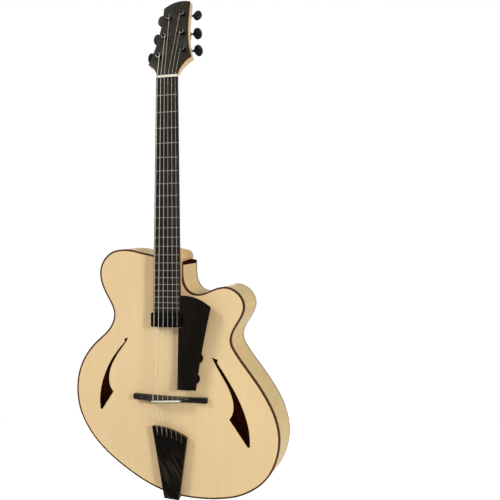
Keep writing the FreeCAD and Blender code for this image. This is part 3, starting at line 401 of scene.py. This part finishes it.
twoTones = {    # name, two colours, scale, detail and mask of the grain, its roughness, roughness, sheen
    "binding": ("darkBinding", tone(68, 36, 19), tone(104, 61, 33),
                (160, 700, 160), 3.0, (0.4, 2.6), 0.15, 0.34, 0.06),
    "bone": ("polishedBone", tone(243, 238, 222), tone(226, 214, 184),
             (160, 700, 700), 3.0, (0.4, 2.4), 0.15, 0.25, 0.4),
    "black": ("tunerBlack", tone(12, 12, 12), tone(28, 27, 26),
              (260, 260, 260), 4.0, (0.45, 2.5), 0.2, 0.26, 0.12),
    "plastic": ("pickupBlack", tone(7, 6, 6), tone(16, 14, 13),
                (180, 180, 180), 4.0, (0.45, 2.5), 0.2, 0.30, 0.03),
    "dull": ("controlBlack", tone(20, 20, 20), tone(44, 43, 42),
             (400, 400, 400), 4.0, (0.45, 2.5), 0.2, 0.45, 0.12),
    "inner": ("plainWood", tone(150, 110, 70), tone(104, 70, 42),
              (300, 300, 20), 3.0, (0, 1), 0.2, 0.6, 0.5),
}


def twoTone(name, first, second, scale, detail, mask, roughGrain, rough, sheen):
    mat = newFinish(name)
    grain = mat.noise(mat.axes(), scale, detail)
    return mat.surface(Base_Color=mat.blend(grain.mask(*mask), first, second),
                       Roughness=grain * roughGrain + rough, Specular_IOR_Level=sheen)


finish = {"spruce": spruceTop(), "head": headFace(), "tail": figuredTail()}
finish.update({key: flamedMaple(look) for key, look in maples.items()})
finish.update({key: ebony(*row) for key, row in ebonies.items()})
finish.update({key: metal(*row) for key, row in metals.items()})
finish.update({key: twoTone(*row) for key, row in twoTones.items()})
wornBy = {
    "spruce": ["top_plate"], "back": ["back_plate"], "rim": ["side_bass", "side_treble"],
    "neck": ["neck"], "strip": ["neck_corner_strip"], "binding": ["top_binding", "back_binding"],
    "inner": ["top_lining", "back_lining", "neck_block", "tail_block", "tone_bars"],
    "board": ["fingerboard"], "fret": ["frets"], "bone": ["nut", "bone_saddle"], "head": ["headplate"],
    "bridge": ["bridge"], "tail": ["tailpiece"], "guard": ["pickguard"],
    "blocks": ["heel_cap", "tail_rest", "guard_blocks"],
    "plastic": ["pickup", "volume_wheel", "tone_wheel"],
    "dull": ["truss_rod", "pole_screws", "pickup_bracket", "control_plate", "pots", "pickup_lead"],
    # the string balls wear brass darkened as painted shade
    "wound": ["wound_strings"], "plain": ["plain_strings"], "shadedBrass": ["string_balls"],
    "brass": ["tuner_rings"], "nickel": ["tail_wire", "end_jack"],
    "black": ["tuner_housings", "tuner_bushings"],
}
tuners = range(1, 7)
for number in tuners:
    wornBy["black"] += ["tuner_%s_%d" % (part, number) for part in ("button", "worm", "post")]
for key, members in wornBy.items():
    for name in members:
        nodes[name].data.materials.clear()
        nodes[name].data.materials.append(finish[key])
print("finishes on", sum(len(members) for members in wornBy.values()), "of", len(nodes), "nodes")


def standsFor(piece, node):
    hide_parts(node)
    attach(piece, bodyOf[node])


def easeEdges(piece, width, rings, angle):
    rounding = piece.modifiers.new("ease", "BEVEL")
    rounding.width = width
    rounding.segments = rings
    rounding.limit_method = "ANGLE"
    rounding.angle_limit = math.radians(angle)
    bpy.ops.object.modifier_apply(modifier=rounding.name)


def editAll():
    bpy.ops.object.mode_set(mode="EDIT")
    bpy.ops.mesh.select_all(action="SELECT")


# a solid's copy, joined up, with its edges rounded as a maker would ease them
def easedCopy(node, name, ease=0, rings=0):
    joined = {"merge": 0.000004, "flat": 1.0, "angle": 32}
    piece = bpy.data.objects.new(name, nodes[node].data.copy())
    scene.collection.objects.link(piece)
    bpy.ops.object.select_all(action="DESELECT")
    piece.select_set(True)
    bpy.context.view_layer.objects.active = piece
    editAll()
    bpy.ops.mesh.customdata_custom_splitnormals_clear()
    bpy.ops.mesh.remove_doubles(threshold=joined["merge"])
    if ease:
        bpy.ops.mesh.dissolve_limited(angle_limit=math.radians(joined["flat"]))
    bpy.ops.object.mode_set(mode="OBJECT")
    if ease:
        easeEdges(piece, ease, rings, joined["angle"])
    bpy.ops.object.shade_smooth_by_angle(angle=math.radians(joined["angle"]))
    standsFor(piece, node)
    return piece


eased = {    # node: new name, rounding, rings
    "pickguard": ("guardPlate", 0.0007, 3), "tailpiece": ("tailPlate", 0.0011, 3),
    "pickup": ("pickupCover", 0.0008, 3), "headplate": ("headFacing", 0.0004, 2),
    "nut": ("boneNut", 0.0005, 2),
    "volume_wheel": ("volumeWheel", 0.0004, 2), "tone_wheel": ("toneWheel", 0.0004, 2),
    "end_jack": ("endJack", 0.0004, 2), "tuner_housings": ("tunerBoxes", 0.0006, 2),
    "guard_blocks": ("guardBlocks", 0.0004, 2), "heel_cap": ("heelCap", 0.0005, 2),
}
for number in tuners:
    eased["tuner_button_%d" % number] = ("tunerKnob%d" % number, 0.0013, 4)
for node, (name, ease, rings) in eased.items():
    easedCopy(node, name, ease, rings)
print("eased pieces", len(eased))


# neck: the sides of the head run into the round of the shaft behind the nut
def neckWood():
    flow = {"start": 0.034, "full": 0.004, "end": -0.017,    # up from the nut
            "face": 0.003, "slope": 0.33, "wall": 0.0223, "keep": 0.0175}
    piece = easedCopy("neck", "neckWood")
    into = headFrame.inverted()
    for v in piece.data.vertices:
        spot = into @ v.co
        wide = abs(spot.x)
        behind = spot.y - flow["face"]
        if flow["end"] < spot.z < flow["start"] and behind > 0 and wide > flow["keep"]:
            share = min(1, (flow["start"] - spot.z) / (flow["start"] - flow["full"]))
            limit = max(flow["wall"], wide) - flow["slope"] * share * behind
            v.co.x = math.copysign(min(wide, limit), spot.x)
    piece.data.update()


# the pickup's bracket reaches nearer to the edges of the board, so that no top shows between them
def pickupBracket():
    bracket = {"ease": 0.0003, "rings": 2, "widen": 1.3}
    easedCopy("pickup_bracket", "pickupBracket", bracket["ease"], bracket["rings"])
    editAll()
    bpy.ops.transform.resize(value=(bracket["widen"], 1, 1), center_override=(0, 0, 0))
    bpy.ops.object.mode_set(mode="OBJECT")


neckWood()
pickupBracket()
print("neck and bracket shaped")


def skinOf(piece):    # a mesh ready for quick ray and distance questions
    mesh = piece.data
    return BVHTree.FromPolygons([v.co for v in mesh.vertices], [face.vertices for face in mesh.polygons])


def frontOf(skin, x, z):    # where a line from well in front first meets a mesh
    wellInFront = -0.1
    return skin.ray_cast(Vector((x, wellInFront, z)), Vector((0, 1, 0)))[0]


def softArch(skin, arch):    # depth of the top's face on a grid of cells, softened
    step, reach = arch["step"], arch["reach"]
    columns = range(int(cadBox[0][0] / step) - 1, int(cadBox[1][0] / step) + 2)
    rows = range(int(cadBox[0][2] / step), int((jointUp + arch["pastJoint"]) / step))
    cells = [(i, k) for i in columns for k in rows]
    level = {}
    for i, k in cells:
        spot = frontOf(skin, i * step, k * step)
        if spot and spot.y < arch["rimLevel"]:
            level[i, k] = spot.y
    weights = {}
    for a in range(-reach, reach + 1):
        for b in range(reach + 1):
            if b > 0 or a > 0:
                weights[a, b] = math.exp(-(a * a + b * b) * (step / arch["spread"]) ** 2 / 2)
    for _ in range(arch["passes"]):
        last = dict(level)
        for i, k in cells:    # opposite cells in pairs, so that slopes stay; the holes are bridged
            total, share = (last[i, k], 1.0) if (i, k) in last else (0.0, 0.0)
            for (a, b), weight in weights.items():
                one, other = last.get((i + a, k + b)), last.get((i - a, k - b))
                if one is not None and other is not None:
                    total += weight * (one + other)
                    share += 2 * weight
            if share:
                level[i, k] = total / share
    return level


def levelAt(level, step, x, z):    # between four cells, where all of them are known
    i, k = math.floor(x / step), math.floor(z / step)
    near = [level.get(cell) for cell in ((i, k), (i + 1, k), (i, k + 1), (i + 1, k + 1))]
    if None in near:
        return None
    right, up = x / step - i, z / step - k
    lower = near[0] + (near[1] - near[0]) * right
    upper = near[2] + (near[3] - near[2]) * right
    return lower + (upper - lower) * up


# carved top: a softer sweep over the arch, with the gap to the binding kept for its purfling
def carvedTop():
    arch = {"step": 0.005, "reach": 4, "spread": 0.012, "passes": 3, "rimLevel": 0.003,
            "pastJoint": 0.02, "edgeFade": 0.009, "outerFace": -0.3}
    piece = easedCopy("top_plate", "carvedTop")
    level, edge = softArch(skinOf(piece), arch), skinOf(nodes["top_binding"])
    gap = piece.data.attributes.new("edgeGap", "FLOAT", "POINT")
    ways = [v.normal.y for v in piece.data.vertices]    # all read before a point moves
    for v in piece.data.vertices:
        away = edge.find_nearest(v.co)[3]
        gap.data[v.index].value = away
        soft = levelAt(level, arch["step"], v.co.x, v.co.z)
        if ways[v.index] < arch["outerFace"] and soft is not None:
            v.co.y += (soft - v.co.y) * min(1, away / arch["edgeFade"])
    piece.data.update()
    return skinOf(piece)


topSkin = carvedTop()
print("top carved")

bone = {"slant": math.radians(3.4), "bassDrop": math.radians(1.0), "down": 0.0015,
        "saddle": (0, -0.0055, -0.638)}    # its place on the neck's line
saddlePoint = neckFrame @ Vector(bone["saddle"])


def boneLine(x):    # height of the slanted bone across the bridge
    return saddlePoint.z - bone["down"] + x * math.tan(bone["slant"])


def slantedBone():
    easedCopy("bone_saddle", "boneStrip")
    editAll()
    bpy.ops.transform.rotate(value=bone["slant"], orient_axis="Y", center_override=saddlePoint)
    bpy.ops.transform.rotate(value=bone["bassDrop"], orient_axis="Z", center_override=saddlePoint)
    bpy.ops.transform.translate(value=(0, 0, -bone["down"]))
    bpy.ops.object.mode_set(mode="OBJECT")


def cutAcross(mesh, axis, length, cuts):    # even cuts across the long edges along one axis
    bpy.ops.object.mode_set(mode="EDIT")
    bpy.ops.mesh.select_mode(type="EDGE")
    bpy.ops.mesh.select_all(action="DESELECT")
    bpy.ops.object.mode_set(mode="OBJECT")
    for edge in mesh.edges:
        start, end = (mesh.vertices[i].co for i in edge.vertices)
        edge.select = abs(start[axis] - end[axis]) > length / 2
    bpy.ops.object.mode_set(mode="EDIT")
    bpy.ops.mesh.subdivide(number_cuts=cuts)
    bpy.ops.object.mode_set(mode="OBJECT")


# bridge: a bar fitted to the arch, its wings scooped down from the block that holds the bone
def bridgeBar():
    bar = {"half": 0.078, "thick": 0.011, "crown": 0.0431, "crownThick": 0.0050, "tip": 0.0240,
           "blockHalf": 0.0320, "fall": 0.0145, "arc": 0.0009, "down": 0.0006, "skew": 0.018,
           "rows": 3, "slices": 59, "ease": 0.0009, "rings": 4, "easeAngle": 40, "smoothAngle": 30}
    bpy.ops.object.select_all(action="DESELECT")
    bpy.ops.mesh.primitive_cube_add(size=1, scale=(2 * bar["half"], bar["crown"], bar["thick"]),
                                    location=(0, -bar["crown"] / 2, saddlePoint.z))
    piece = bpy.context.object
    piece.name = "bridgeBar"
    bpy.ops.object.transform_apply(location=True, rotation=True, scale=True)
    mesh = piece.data
    cutAcross(mesh, 2, bar["thick"], bar["rows"])            # through its thickness
    cutAcross(mesh, 0, 2 * bar["half"], bar["slices"])       # along its length
    for v in mesh.vertices:
        past = max(0.0, abs(v.co.x) - bar["blockHalf"])
        rise = math.exp(-past / bar["fall"])    # 1 over the block, less and less along the wings
        middle = saddlePoint.z - bar["down"] - v.co.x * bar["skew"]
        side = (v.co.z - saddlePoint.z) / (bar["thick"] / 2)
        thick = bar["thick"]
        if v.co.y < -bar["crown"] / 2:    # the outer edge, towards the strings
            v.co.y = bar["arc"] * side * side - bar["tip"] - (bar["crown"] - bar["tip"]) * rise
            middle += (boneLine(v.co.x) - middle) * rise
            thick += (bar["crownThick"] - thick) * rise
            v.co.z = middle + side * thick / 2
        else:                             # the foot, on the top
            v.co.z = middle + side * thick / 2
            v.co.y = frontOf(topSkin, v.co.x, v.co.z).y
    easeEdges(piece, bar["ease"], bar["rings"], bar["easeAngle"])
    bpy.ops.object.shade_smooth_by_angle(angle=math.radians(bar["smoothAngle"]))
    mesh.materials.append(finish["bridge"])
    standsFor(piece, "bridge")


bridgeBar()
slantedBone()
print("bridge fitted")
